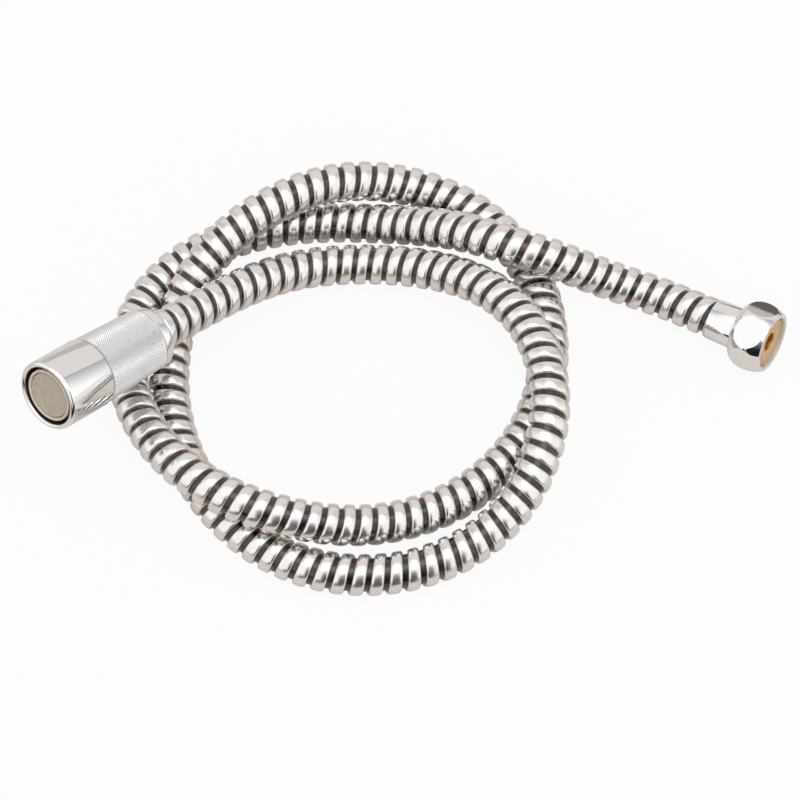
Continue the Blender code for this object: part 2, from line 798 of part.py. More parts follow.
def make_swivel_nut(finishes, nut, low, shoulder, mouth):
    """A domed body whose six flats show as round faces."""
    crest = low + NUT_CREST
    outline = [(NECK_RADIUS + GAP, low)]
    for k in range(6):
        turn = math.radians(18 * k)
        radius = NUT_REAR_RADIUS + (NUT_RADIUS - NUT_REAR_RADIUS) * math.sin(turn)
        outline.append((radius, crest - NUT_CREST * math.cos(turn)))
    for k in range(1, 4):
        share = k / 3
        radius = NUT_RADIUS - (NUT_RADIUS - NUT_FRONT_RADIUS) * share * share
        outline.append((radius, crest + (mouth - crest) * share))
    outline += [
        (NUT_THREAD_RADIUS, mouth),
        (NUT_THREAD_RADIUS, shoulder),
        (NECK_RADIUS + GAP, shoulder),
    ]
    body = turned("swivel_nut", outline, SHELL_SEGMENTS + 4, finishes["chrome"], nut)
    shape = bmesh.new()
    bmesh.ops.create_cone(
        shape,
        cap_ends=True,
        segments=NUT_FACES,
        radius1=NUT_FLAT / math.cos(math.pi / NUT_FACES),
        radius2=NUT_FLAT / math.cos(math.pi / NUT_FACES),
        depth=2 * NUT_LENGTH,
    )
    bmesh.ops.translate(shape, verts=shape.verts, vec=(0.0, 0.0, crest))
    bmesh.ops.rotate(shape, verts=shape.verts, matrix=Matrix.Rotation(NUT_TURN, 3, "Z"))
    mesh = bpy.data.meshes.new("nut_flats")
    shape.to_mesh(mesh)
    shape.free()
    boolean(body, cutter(add_object("nut_flats", mesh, None, nut)), "INTERSECT")


def make_finishes():
    return {
        "chrome": material("polished_chrome", (0.88, 0.87, 0.86), 0.06, 1.0),
        "satin": material("satin_knurl", (0.72, 0.71, 0.70), 0.35, 1.0),
        "steel": material("spring_steel", (0.60, 0.60, 0.61), 0.30, 1.0),
        "brass": material("turned_brass", (0.78, 0.58, 0.28), 0.25, 1.0),
        "hose": material("silver_ribs", (0.80, 0.78, 0.76), 0.18, 0.8),
        "tube": material("clear_tube", (0.75, 0.74, 0.70), 0.40, 0.0),
        "rubber": material("black_rubber", (0.04, 0.04, 0.04), 0.60, 0.0),
        "plastic": material("white_plastic", (0.80, 0.79, 0.76), 0.45, 0.0),
        "peach": material("peach_plastic", (0.80, 0.66, 0.54), 0.45, 0.0),
        "screen": material("screen_steel", (0.62, 0.58, 0.51), 0.40, 0.7),
        "tan": material("tan_washer", (0.78, 0.62, 0.44), 0.55, 0.0),
    }


def main():
    clear_scene()
    finishes = make_finishes()
    head = axis_empty("head_axis", HEAD_REAR, HEAD_YAW, HEAD_PITCH)
    nut = axis_empty("nut_axis", FERRULE_MOUTH, NUT_YAW, NUT_PITCH)
    make_hose(finishes)
    make_head_nipple(finishes, head)
    make_head_shells(finishes, head)
    make_head_body(finishes, head)
    make_insert(finishes, head)
    make_nut_end(finishes, nut)


main()
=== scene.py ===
"""Handheld bath sprayer: the finish of every piece, the floor, the light and the camera.

Metres, +Z up, in the frame of the part's own model. The hose lies in two loops, the spray
head is at the left on the strands below it, and the swivel nut is at the right. Turned
pieces are made round +Z with their rear face at zero, and then set on their end's axis.
"""

import json
import math

import bmesh
import bpy
from mathutils import Matrix, Vector


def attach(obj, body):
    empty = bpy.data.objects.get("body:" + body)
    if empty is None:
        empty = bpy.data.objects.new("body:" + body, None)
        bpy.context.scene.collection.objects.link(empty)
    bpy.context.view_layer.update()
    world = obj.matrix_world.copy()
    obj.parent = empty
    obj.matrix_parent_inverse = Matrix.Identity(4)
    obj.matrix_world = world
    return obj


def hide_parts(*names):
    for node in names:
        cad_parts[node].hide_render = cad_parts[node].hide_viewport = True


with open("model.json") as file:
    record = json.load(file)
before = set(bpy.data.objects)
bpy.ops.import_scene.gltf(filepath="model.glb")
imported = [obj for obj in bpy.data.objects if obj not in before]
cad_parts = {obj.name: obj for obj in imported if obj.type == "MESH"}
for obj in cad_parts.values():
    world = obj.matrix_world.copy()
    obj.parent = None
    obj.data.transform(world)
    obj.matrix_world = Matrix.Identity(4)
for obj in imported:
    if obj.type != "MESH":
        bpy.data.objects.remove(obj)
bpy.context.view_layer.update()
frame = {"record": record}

MM = 0.001
GAP = 0.3 * MM  # between pieces that touch or fit in each other

# The two ends' axes, as the part's own joints give them
JOINTS = {joint["name"]: joint for joint in frame["record"]["behaviour"]["joints"]}
HEAD_REAR = Vector(JOINTS["head_swivel"]["pos_m"])
HEAD_AXIS = Vector(JOINTS["head_swivel"]["axis"]).normalized()
FERRULE_MOUTH = Vector((146.0, 103.3, 13.5)) * MM
NUT_AXIS = Vector(JOINTS["nut_spin"]["axis"]).normalized()

# Hose: a silver strip wound left-handed over a black core
HOSE_RADIUS = 7.8 * MM
REST_HEIGHT = 6.24 * MM  # of the centreline where the hose lies on the table
CORE_RADIUS = 6.2 * MM
CORE_BORE_RADIUS = 5.35 * MM
CORE_STEP = 5.0 * MM
CORE_SIDES = 32
CORE_SMOOTH = 50.0  # degrees
STRIP_PITCH = 6.6 * MM
STRIP_WIDTH = 4.65 * MM
STRIP_FOOT_RADIUS = CORE_RADIUS + 0.05 * MM
STRIP_STEPS = 32  # in one turn
STRIP_ROUND = 1.0 * MM  # of its two edges
STRIP_CROWN = 0.10 * MM
STRIP_SMOOTH = 60.0  # degrees
HOSE_INSERTION = 12.0 * MM
END_RUN = 2.0 * HOSE_RADIUS
LINE_STEPS = 16  # between two points of the route
# Centreline of the loose hose, as the part's own source has it: x, y and lift
ROUTE = (
    (-0.0345, 0.1140, 0.0133),
    (-0.0060, 0.1280, 0.0043),
    (0.0260, 0.1280, 0.0048),
    (0.0560, 0.1155, 0.0123),
    (0.0755, 0.0925, 0.0163),
    (0.0815, 0.0610, 0.0168),
    (0.0735, 0.0325, 0.0098),
    (0.0550, 0.0125, 0.0023),
    (0.0290, 0.0010, 0.0),
    (0.0, 0.0, 0.0),
    (-0.0270, 0.0110, 0.0),
    (-0.0485, 0.0330, 0.0),
    (-0.0610, 0.0625, 0.0),
    (-0.0625, 0.0945, 0.0028),
    (-0.0525, 0.1215, 0.0113),
    (-0.0325, 0.1425, 0.0168),
    (-0.0045, 0.1585, 0.0148),
    (0.0250, 0.1635, 0.0073),
    (0.0535, 0.1545, 0.0018),
    (0.0745, 0.1310, 0.0),
    (0.0825, 0.0985, 0.0),
    (0.0770, 0.0660, 0.0),
    (0.0590, 0.0395, 0.0003),
    (0.0335, 0.0230, 0.0018),
    (0.0050, 0.0160, 0.0073),
    (-0.0230, 0.0180, 0.0143),
    (-0.0485, 0.0295, 0.0163),
    (-0.0710, 0.0555, 0.0118),
    (-0.0795, 0.0920, 0.0043),
    (-0.0675, 0.1235, 0.0003),
    (-0.0430, 0.1420, 0.0),
    (-0.0125, 0.1495, 0.0003),
    (0.0170, 0.1485, 0.0023),
    (0.0440, 0.1405, 0.0118),
    (0.0655, 0.1310, 0.0173),
    (0.0870, 0.1250, 0.0138),
    (0.1065, 0.1210, 0.0063),
)

# Spray head, from its rear face forwards
HEAD_RADIUS = 13.5 * MM
RING_RADIUS = 12.2 * MM
RING_LENGTH = 4.9 * MM
RING_MOUTH_RADIUS = 8.3 * MM
RING_WALL = 4.0 * MM
RING_COUNTERBORE = 1.2 * MM  # wider than its mouth
RING_SPIGOT = 7.2 * MM
RING_ROUND = 2.0 * MM
GRIP_RADIUS = 13.3 * MM
GRIP_REAR_RADIUS = 12.3 * MM
GRIP_LENGTH = 29.5 * MM
GRIP_WALL = 1.2 * MM
COLLAR_LENGTH = 21.6 * MM
COLLAR_WALL = 1.4 * MM
COLLAR_RECESS = 5.0 * MM
COLLAR_MOUTH_RADIUS = 11.5 * MM
COLLAR_OUTER_SHARE = 0.6  # of its rim's width, rounded outwards; the rest is rounded inwards
RIM_FACING = 0.25  # the collar's rim is buffed where it faces forwards more than this
LIP_THICKNESS = 1.5 * MM
INSERT_FLANGE = 2.0 * MM
INSERT_RADIUS = 10.2 * MM
INSERT_SEAT_RADIUS = 9.15 * MM
INSERT_BORE_RADIUS = 7.9 * MM
INSERT_SETBACK = 0.8 * MM
RIM_RAISE = 0.5 * MM
SCREEN_THICKNESS = 0.4 * MM
SUPPORT_THICKNESS = 1.2 * MM
CLOTH_PITCH = 0.42 * MM
CLOTH_WIRE = 0.31 * MM
CLOTH_SWING = 0.2 * CLOTH_WIRE  # of a wire, over and under the others
KNURL_SIDES = 196  # two for each small pyramid
KNURL_ROWS = 46
KNURL_DEPTH = 0.28 * MM
KNURL_SMOOTH = 15.0  # degrees

# Nut end, from the ferrule's mouth forwards
FERRULE_REAR_RADIUS = 7.9 * MM
FERRULE_RADIUS = 8.15 * MM
FERRULE_LENGTH = 10.4 * MM
FERRULE_BORE_RADIUS = 5.3 * MM
FERRULE_FRONT_WALL = 1.2 * MM
FERRULE_HOLE_RADIUS = 5.2 * MM
NUT_RADIUS = 13.5 * MM
NUT_REAR_RADIUS = 8.3 * MM
NUT_FRONT_RADIUS = 11.7 * MM
NUT_CREST = 7.3 * MM
NUT_DOME_STEPS = 12
NUT_FRONT_STEPS = 8
NUT_FLAT = 12.1 * MM
NUT_FLAT_FALL = 0.34 * MM  # of a buffed flat, from its middle to its corners
NUT_FLAT_SIDES = 48  # of the cutter for all six
NUT_LENGTH = 14.6 * MM
NUT_REAR_WALL = 2.1 * MM
NUT_HOLE_RADIUS = 5.7 * MM
NUT_THREAD_RADIUS = 10.2 * MM
NUT_TURN = math.radians(27.0)
NUT_SMOOTH = 12.0  # degrees
WASHER_LOW = 21.0 * MM
WASHER_THICKNESS = 3.0 * MM
WASHER_BORE_RADIUS = 3.7 * MM

# All turned pieces
TURNED_SIDES = 96
SMALL_SIDES = 64
INSERT_SIDES = 72
POLISHED_EDGE = 0.15 * MM
FERRULE_EDGE = 0.3 * MM
WASHER_EDGE = 0.25 * MM
SLACK = 0.1 * MM  # for telling which of two radii a face or corner is on
FINE_SLACK = 0.02 * MM

# Camera
CAMERA_ELEVATION = math.radians(63.0)
CAMERA_DISTANCE = 1.2
CAMERA_AIM = Vector((0.0252, 0.0752, 0.0))
CAMERA_LENS = 140.4
SENSOR_WIDTH = 36.0

# Floor: the camera sees it white, and metal mirrors painted reflection tones that it glows with
# round the object
FLOOR_SIZE = 0.64
FLOOR_DROP = 0.2 * MM
FLOOR_PAINT = (0.84, 0.79, 0.75)
FLOOR_GLOW = 0.93  # of white over the paint, so that a soft shadow stays
LEFT_TONE = (0.66, 0.65, 0.63)
RIGHT_TONE = (0.92, 0.92, 0.92)
BACK_TONE = (0.55, 0.53, 0.51)
FRONT_TONE = (0.015, 0.015, 0.018)
FLOOR_FADES = ((-0.03, 0.24), (0.20, 0.28), (-0.075, -0.10))  # rightwards, behind, in front
NEAR_PLACE = (0.04, 0.09)  # of the oval where metal mirrors the paint itself
NEAR_REACH = (0.26, 0.20)
SPOT_PLACE = (0.21, 0.24)  # of a dark oval behind the nut, a painted reflection for the nut's flats
SPOT_REACH = (0.05, 0.12)
SPOT_TONE = (0.13, 0.125, 0.115)

# The two dark cards in front: left edge, right edge and height
CARDS = ((-0.24, -0.07, 0.10), (-0.11, 0.22, 0.62))
CARD_PLACE = -0.30
CARD_EDGE = 0.03
CARD_FADE = 0.6  # the share of its height from which a card fades out
CARD_DARK_BELOW = 0.16
CARD_PALE_ABOVE = 0.36
CARD_DARK = (0.012, 0.013, 0.016)
CARD_PALE = (0.20, 0.26, 0.30)

# The studio that the metal mirrors: white light overhead and on both sides, and a warm pale
# wall behind with a shaded edge
WALL_WAY = Vector((0.0876, 0.969, 0.230)).normalized()
WALL_EDGE = 0.715
WALL_SOFTNESS = 0.008
WALL_TONE = (0.83, 0.785, 0.76)
SHADE_START = 0.22
SHADE_TONE = (0.45, 0.47, 0.50)
SHADE_TOP = (0.78, 0.90)
WHITE_TONE = (1.12, 1.12, 1.12)
HORIZON = -0.012
HORIZON_FADES = ((-0.2, 0.5), (0.5, 0.8), (-0.5, -0.6))
PLAIN_STRENGTH = 0.72  # of the studio on what isn't a mirror
LAMP_SIZE = (1.1, 0.8)
LAMP_POWER = 4.0
LAMP_PLACE = (0.15, 0.05, 1.4)


# Helpers


def deselect_all():
    """Nothing is left selected that an operator could act on."""
    if bpy.context.object and bpy.context.object.mode != "OBJECT":
        bpy.ops.object.mode_set(mode="OBJECT")
    bpy.ops.object.select_all(action="DESELECT")


def work_on(piece):
    deselect_all()
    piece.select_set(True)
    bpy.context.view_layer.objects.active = piece


def end_frame(place, axis):
    """Where a turned piece goes: its +Z on the axis and its +X towards the table."""
    yaw = math.atan2(axis.y, axis.x)
    pitch = math.asin(axis.z)
    turn = Matrix.Rotation(yaw, 4, "Z") @ Matrix.Rotation(math.pi / 2 - pitch, 4, "Y")
    return Matrix.Translation(place) @ turn


def settle(piece, place):
    """Puts a piece in its place and leaves the place in its mesh."""
    work_on(piece)
    piece.matrix_world = place @ piece.matrix_world
    bpy.ops.object.transform_apply(location=True, rotation=True, scale=True)


def finish_mesh(piece, edge=0.0, angle=35.0):
    """Rounds the sharp edges, if asked, and smooths what is left."""
    work_on(piece)
    if edge:
        rounding = piece.modifiers.new("edge rounding", "BEVEL")
        rounding.width = edge
        rounding.segments = 3
        rounding.limit_method = "ANGLE"
        rounding.angle_limit = math.radians(angle)
        bpy.ops.object.modifier_apply(modifier=rounding.name)
    bpy.ops.object.shade_smooth_by_angle(angle=math.radians(angle))


def give(piece, material):
    piece.data.materials.clear()
    piece.data.materials.append(material)


def faces_where(piece, wanted):
    """The faces of a turned piece that a test of their reach, place and way picks."""
    return [
        face.index
        for face in piece.data.polygons
        if wanted(face.center.xy.length, face.center, face.normal)
    ]


def finish_faces(piece, faces, material):
    """Another finish on some of a piece's faces."""
    piece.data.materials.append(material)
    last = len(piece.data.materials) - 1
    for index in faces:
        piece.data.polygons[index].material_index = last


def turned(name, outline, sides=TURNED_SIDES):
    """A ring of (radius, height) corners, drawn out round the Z axis and back to its start."""
    deselect_all()
    radius, height = outline[0]
    bpy.ops.mesh.primitive_circle_add(vertices=sides, radius=radius, location=(0.0, 0.0, height))
    piece = bpy.context.object
    piece.name = name
    piece.data.name = name
    bpy.ops.object.transform_apply(location=True)
    bpy.ops.object.mode_set(mode="EDIT")
    bpy.ops.mesh.select_all(action="SELECT")
    for next_radius, next_height in outline[1:] + outline[:1]:
        rise = (0.0, 0.0, next_height - height)
        bpy.ops.mesh.extrude_region_move(TRANSFORM_OT_translate={"value": rise})
        share = next_radius / radius
        bpy.ops.transform.resize(value=(share, share, 1.0), center_override=(0.0, 0.0, next_height))
        radius, height = next_radius, next_height
    bpy.ops.mesh.select_all(action="SELECT")
    bpy.ops.mesh.remove_doubles(threshold=1e-6)
    bpy.ops.mesh.normals_make_consistent(inside=False)
    bpy.ops.object.mode_set(mode="OBJECT")
    return piece


def arc(centre, radius, start, finish, steps):
    """Corners of a round stretch of an outline, in degrees from straight out."""
    corners = []
    for k in range(steps + 1):
        turn = math.radians(start + (finish - start) * k / steps)
        corners.append(
            (centre[0] + radius * math.cos(turn), centre[1] + radius * math.sin(turn))
        )
    return corners


# Finishes


def new_finish(name, colour, metallic, roughness):
    made = bpy.data.materials.new(name)
    made.use_nodes = True
    nodes = made.node_tree.nodes
    shader = nodes["Principled BSDF"]
    shader.inputs["Base Color"].default_value = (*colour, 1.0)
    shader.inputs["Metallic"].default_value = metallic
    shader.inputs["Roughness"].default_value = roughness
    return made, nodes, made.node_tree.links, shader


def noise(nodes, links, source, scale, detail=3.0, roughness=0.5):
    texture = nodes.new("ShaderNodeTexNoise")
    texture.inputs["Scale"].default_value = scale
    texture.inputs["Detail"].default_value = detail
    texture.inputs["Roughness"].default_value = roughness
    links.new(source, texture.inputs["Vector"])
    return texture.outputs["Fac"]


def ranged(nodes, links, source, low, high, new_low, new_high):
    """One range of values turned into another, with its ends held."""
    made = nodes.new("ShaderNodeMapRange")
    made.inputs["From Min"].default_value = low
    made.inputs["From Max"].default_value = high
    made.inputs["To Min"].default_value = new_low
    made.inputs["To Max"].default_value = new_high
    links.new(source, made.inputs["Value"])
    return made.outputs["Result"]


def blended(nodes, links, factor, first, second):
    """One colour turned into another by a factor; either may come from another node."""
    made = nodes.new("ShaderNodeMix")
    made.data_type = "RGBA"
    for side, colour in (("A", first), ("B", second)):
        if isinstance(colour, tuple):
            made.inputs[side].default_value = (*colour, 1.0)
        else:
            links.new(colour, made.inputs[side])
    links.new(factor, made.inputs["Factor"])
    return made.outputs["Result"]


def math_node(nodes, links, operation, first, second=None):
    made = nodes.new("ShaderNodeMath")
    made.operation = operation
    for socket, value in zip(made.inputs, (first, second)):
        if isinstance(value, (int, float)):
            socket.default_value = value
        elif value is not None:
            links.new(value, socket)
    return made.outputs["Value"]


def bump(nodes, links, shader, height, distance, strength=1.0):
    made = nodes.new("ShaderNodeBump")
    made.inputs["Distance"].default_value = distance
    made.inputs["Strength"].default_value = strength
    links.new(height, made.inputs["Height"])
    links.new(made.outputs["Normal"], shader.inputs["Normal"])


def object_place(nodes):
    return nodes.new("ShaderNodeTexCoord").outputs["Object"]


def split_place(nodes, links, place):
    """The x, y and z of a place or a direction."""
    split = nodes.new("ShaderNodeSeparateXYZ")
    links.new(place, split.inputs["Vector"])
    return [split.outputs[axis] for axis in "XYZ"]


def oval(nodes, links, x, y, middle, reach):
    """1 inside an oval, 0 outside it, with a soft edge."""
    parts = []
    for source, centre, radius in zip((x, y), middle, reach):
        aside = ranged(nodes, links, source, centre - 4 * radius, centre + 4 * radius, -4.0, 4.0)
        parts.append(math_node(nodes, links, "MULTIPLY", aside, aside))
    return ranged(nodes, links, math_node(nodes, links, "ADD", *parts), 0.45, 1.25, 1.0, 0.0)


def show_mixed(nodes, links, factor, first, second, output):
    """Shows the first shader where the factor is 0, and the second where it is 1."""
    mix = nodes.new("ShaderNodeMixShader")
    links.new(factor, mix.inputs["Fac"])
    links.new(first, mix.inputs[1])
    links.new(second, mix.inputs[2])
    links.new(mix.outputs["Shader"], nodes.new(output).inputs["Surface"])


def bare_material(name):
    made = bpy.data.materials.new(name)
    made.use_nodes = True
    made.node_tree.nodes.clear()
    return made, made.node_tree.nodes, made.node_tree.links


def make_chrome():
    """Polished chrome plate, with faint handling marks and the ripple of a buffed surface."""
    made, nodes, links, shader = new_finish("polished chrome", (0.87, 0.865, 0.86), 1.0, 0.05)
    place = object_place(nodes)
    marks = noise(nodes, links, place, 260.0, 6.0, 0.6)
    links.new(ranged(nodes, links, marks, 0.45, 0.75, 0.035, 0.13), shader.inputs["Roughness"])
    colour = blended(nodes, links, marks, (0.90, 0.895, 0.89), (0.84, 0.835, 0.83))
    links.new(colour, shader.inputs["Base Color"])
    bump(nodes, links, shader, noise(nodes, links, place, 90.0, 2.0), 0.02 * MM, 0.35)
    return made


def make_silver_strip():
    """Metallised strip: bright, a little wavy along its length, with small warm flecks."""
    made, nodes, links, shader = new_finish("silver strip", (0.86, 0.84, 0.82), 0.9, 0.1)
    place = object_place(nodes)
    cloudy = noise(nodes, links, place, 300.0, 5.0, 0.6)
    fleck = noise(nodes, links, place, 1150.0, 2.0, 0.5)
    warm = ranged(nodes, links, fleck, 0.69, 0.76, 0.0, 0.55)
    silver = blended(nodes, links, cloudy, (0.89, 0.865, 0.845), (0.80, 0.77, 0.745))
    flecked = blended(nodes, links, warm, silver, (0.62, 0.45, 0.30))
    links.new(flecked, shader.inputs["Base Color"])
    links.new(ranged(nodes, links, cloudy, 0.35, 0.7, 0.19, 0.29), shader.inputs["Roughness"])
    bump(nodes, links, shader, noise(nodes, links, place, 420.0, 2.0), 0.05 * MM, 0.5)
    return made


def make_black_core():
    """Glossy black plastic, with painted light: warm brown patches, spread at random, for the light
    seen in its grooves.
    """
    made, nodes, links, shader = new_finish("black core", (0.02, 0.018, 0.018), 0.0, 0.18)
    shader.inputs["Specular Tint"].default_value = (1.0, 0.84, 0.74, 1.0)
    shader.inputs["Coat Weight"].default_value = 0.5
    shader.inputs["Coat Roughness"].default_value = 0.06
    place = object_place(nodes)
    painted_glow_cloud = noise(nodes, links, place, 210.0, 4.0, 0.6)
    # Painted light: random patches where the black turns warm brown
    depth = ranged(nodes, links, painted_glow_cloud, 0.42, 0.68, 0.0, 1.0)
    black = blended(nodes, links, depth, (0.006, 0.005, 0.005), (0.06, 0.044, 0.036))
    links.new(black, shader.inputs["Base Color"])
    bump(nodes, links, shader, noise(nodes, links, place, 900.0, 2.0), 0.06 * MM, 0.5)
    return made


def make_knurl():
    """Satin chrome, for the knurled sleeve, with a few dark specks where it is worn."""
    made, nodes, links, shader = new_finish("satin knurl", (0.84, 0.84, 0.835), 1.0, 0.34)
    place = object_place(nodes)
    wear = noise(nodes, links, place, 240.0, 5.0, 0.6)
    speck = ranged(nodes, links, noise(nodes, links, place, 700.0, 1.0), 0.75, 0.79, 0.0, 0.75)
    satin = blended(nodes, links, wear, (0.84, 0.84, 0.835), (0.72, 0.725, 0.725))
    worn = blended(nodes, links, speck, satin, (0.10, 0.11, 0.12))
    links.new(worn, shader.inputs["Base Color"])
    links.new(ranged(nodes, links, wear, 0.3, 0.7, 0.27, 0.40), shader.inputs["Roughness"])
    bump(nodes, links, shader, noise(nodes, links, place, 1300.0, 2.0), 0.03 * MM, 0.5)
    return made


def make_brass():
    """Turned brass with fine tool marks and a little tarnish."""
    made, nodes, links, shader = new_finish("turned brass", (0.76, 0.46, 0.09), 1.0, 0.25)
    place = object_place(nodes)
    tarnish = noise(nodes, links, place, 330.0, 5.0, 0.6)
    colour = blended(nodes, links, tarnish, (0.85, 0.54, 0.10), (0.62, 0.34, 0.05))
    links.new(colour, shader.inputs["Base Color"])
    links.new(ranged(nodes, links, tarnish, 0.3, 0.7, 0.35, 0.55), shader.inputs["Roughness"])
    bump(nodes, links, shader, noise(nodes, links, place, 1500.0, 2.0), 0.03 * MM, 0.4)
    return made


def make_plain(name, light, dark, roughness, metallic=0.0, grain=500.0, depth=0.03):
    """A moulded or pressed material with a fine grain between two near colours."""
    made, nodes, links, shader = new_finish(name, light, metallic, roughness)
    place = object_place(nodes)
    cloud = noise(nodes, links, place, grain, 5.0, 0.6)
    tone = blended(nodes, links, ranged(nodes, links, cloud, 0.35, 0.65, 0.0, 1.0), light, dark)
    links.new(tone, shader.inputs["Base Color"])
    links.new(
        ranged(nodes, links, cloud, 0.3, 0.7, roughness * 0.8, min(1.0, roughness * 1.25)),
        shader.inputs["Roughness"],
    )
    bump(nodes, links, shader, noise(nodes, links, place, grain * 3.0, 2.0), depth * MM, 0.6)
    return made


def make_finishes():
    return {
        "chrome": make_chrome(),
        "strip": make_silver_strip(),
        "core": make_black_core(),
        "knurl": make_knurl(),
        "brass": make_brass(),
        "rubber": make_plain("black rubber", (0.03, 0.03, 0.031), (0.015, 0.015, 0.016), 0.6),
        "white": make_plain("white plastic", (0.80, 0.79, 0.76), (0.72, 0.71, 0.68), 0.35),
        "peach": make_plain("peach plastic", (0.80, 0.66, 0.55), (0.74, 0.59, 0.48), 0.4),
        "wire": make_plain("screen wire", (0.72, 0.64, 0.54), (0.62, 0.54, 0.45), 0.5, 0.15),
        "tan": make_plain("tan washer", (0.74, 0.50, 0.30), (0.66, 0.43, 0.25), 0.55),
        "clear": make_plain("clear tube", (0.62, 0.60, 0.52), (0.54, 0.52, 0.44), 0.25),
        # The collar's bore is painted near black, as shade in the gap round the insert
        "bore": make_plain("painted_shade bore", (0.025, 0.022, 0.024), (0.012, 0.011, 0.012), 0.55),
        "buffed": make_plain("buffed rim", (0.93, 0.925, 0.92), (0.88, 0.875, 0.87), 0.17, 1.0),
        # The nut's thread is painted pale, standing in for the light that falls on it
        "painted_light_thread": make_plain("pale thread", (0.80, 0.79, 0.75), (0.70, 0.69, 0.64), 0.35, 0.3),
        "spring": make_plain("spring steel", (0.56, 0.56, 0.57), (0.44, 0.44, 0.45), 0.3, 1.0),
    }


# Hose


def smooth_curve(points, start_direction, end_direction, steps):
    """Points on a smooth curve through the given ones, which leaves and arrives as told."""
    count = len(points)
    speeds = [Vector()] * count
    speeds[0] = start_direction * (points[1] - points[0]).length
    speeds[-1] = end_direction * (points[-1] - points[-2]).length
    # Each inner point's speed makes the bending run on through it.
    ratio = [0.0] * count
    carried = [speeds[0]] * count
    for i in range(1, count - 1):
        share = 4.0 - ratio[i - 1]
        ratio[i] = 1.0 / share
        carried[i] = (3.0 * (points[i + 1] - points[i - 1]) - carried[i - 1]) / share
    for i in range(count - 2, 0, -1):
        speeds[i] = carried[i] - ratio[i] * speeds[i + 1]
    line = []
    for i in range(count - 1):
        for k in range(steps):
            t = k / steps
            line.append(
                points[i] * (1 + 2 * t) * (1 - t) ** 2
                + speeds[i] * t * (1 - t) ** 2
                + points[i + 1] * t * t * (3 - 2 * t)
                - speeds[i + 1] * t * t * (1 - t)
            )
    line.append(points[-1])
    return line


def hose_line():
    """The centreline from the hose's end in the head to its end at the ferrule."""
    head_end = HEAD_REAR + HEAD_AXIS * HOSE_INSERTION
    nut_end = FERRULE_MOUTH - NUT_AXIS * GAP
    start = head_end - HEAD_AXIS * END_RUN
    finish = nut_end - NUT_AXIS * END_RUN
    lying = Vector((0.0, 0.0, REST_HEIGHT))
    points = [start] + [lying + Vector(point) for point in ROUTE] + [finish]
    return [head_end] + smooth_curve(points, -HEAD_AXIS, NUT_AXIS, LINE_STEPS) + [nut_end]


class Centreline:
    """The hose's line, which gives the place and the two cross directions at any distance."""

    def __init__(self, points):
        self.points = points
        self.travelled = [0.0]
        for before, after in zip(points, points[1:]):
            self.travelled.append(self.travelled[-1] + (after - before).length)
        self.length = self.travelled[-1]
        last = len(points) - 1
        self.tangents = [
            (points[min(i + 1, last)] - points[max(i - 1, 0)]).normalized()
            for i in range(len(points))
        ]
        self.reached = 0

    def at(self, distance):
        distance = min(max(distance, 0.0), self.length)
        i = self.reached
        while i > 0 and self.travelled[i] > distance:
            i -= 1
        while i < len(self.points) - 2 and self.travelled[i + 1] < distance:
            i += 1
        self.reached = i
        share = (distance - self.travelled[i]) / (self.travelled[i + 1] - self.travelled[i])
        place = self.points[i].lerp(self.points[i + 1], share)
        along = self.tangents[i].lerp(self.tangents[i + 1], share).normalized()
        across = along.cross(Vector((0.0, 0.0, 1.0))).normalized()
        return place, across, across.cross(along)

    def skin(self, distance, turn, radius):
        """A point round the line, held above the table."""
        place, across, upwards = self.at(distance)
        point = place + (across * math.cos(turn) + upwards * math.sin(turn)) * radius
        point.z = max(point.z, 0.0)
        return point


def grid_piece(name, rows, closed_ends):
    """A piece whose rings of points are joined one after the other."""
    shape = bmesh.new()
    rings = [[shape.verts.new(point) for point in row] for row in rows]
    around = len(rings[0])
    for before, after in zip(rings, rings[1:]):
        for k in range(around):
            n = (k + 1) % around
            shape.faces.new((before[k], before[n], after[n], after[k]))
    if closed_ends:
        shape.faces.new(list(reversed(rings[0])))
        shape.faces.new(rings[-1])
    bmesh.ops.remove_doubles(shape, verts=shape.verts, dist=2e-6)
    bmesh.ops.dissolve_degenerate(shape, edges=shape.edges, dist=1e-6)
    bmesh.ops.recalc_face_normals(shape, faces=shape.faces)
    mesh = bpy.data.meshes.new(name)
    shape.to_mesh(mesh)
    shape.free()
    piece = bpy.data.objects.new(name, mesh)
    bpy.context.scene.collection.objects.link(piece)
    return piece


def make_core(line, finishes):
    """The black tube inside the strip: its skin, and back along its bore."""
    steps = round(line.length / CORE_STEP)
    turns = [2 * math.pi * k / CORE_SIDES for k in range(CORE_SIDES)]
    distances = [line.length * k / steps for k in range(steps + 1)]
    rows = [[line.skin(s, turn, CORE_RADIUS) for turn in turns] for s in distances]
    rows += [
        [line.skin(s, turn, CORE_BORE_RADIUS) for turn in turns] for s in reversed(distances)
    ]
    rows.append(rows[0])
    core = grid_piece("hose_core", rows, False)
    core.data.shade_smooth()
    core.data.set_sharp_from_angle(angle=math.radians(CORE_SMOOTH))
    give(core, finishes["core"])
    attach(core, "hose_line")
    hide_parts("hose")
    return core


def strip_section():
    """A flat band with two rounded edges, as (place across, height) from its middle and foot."""
    half = STRIP_WIDTH / 2
    top = HOSE_RADIUS - STRIP_FOOT_RADIUS - STRIP_CROWN
    side = [(-half, 0.0)]
    side += arc((STRIP_ROUND - half, top - STRIP_ROUND), STRIP_ROUND, 180, 90, 4)
    side.append((1.2 * STRIP_ROUND - half, top + 0.4 * STRIP_CROWN))
    return side + [(0.0, top + STRIP_CROWN)] + [(-across, rise) for across, rise in reversed(side)]


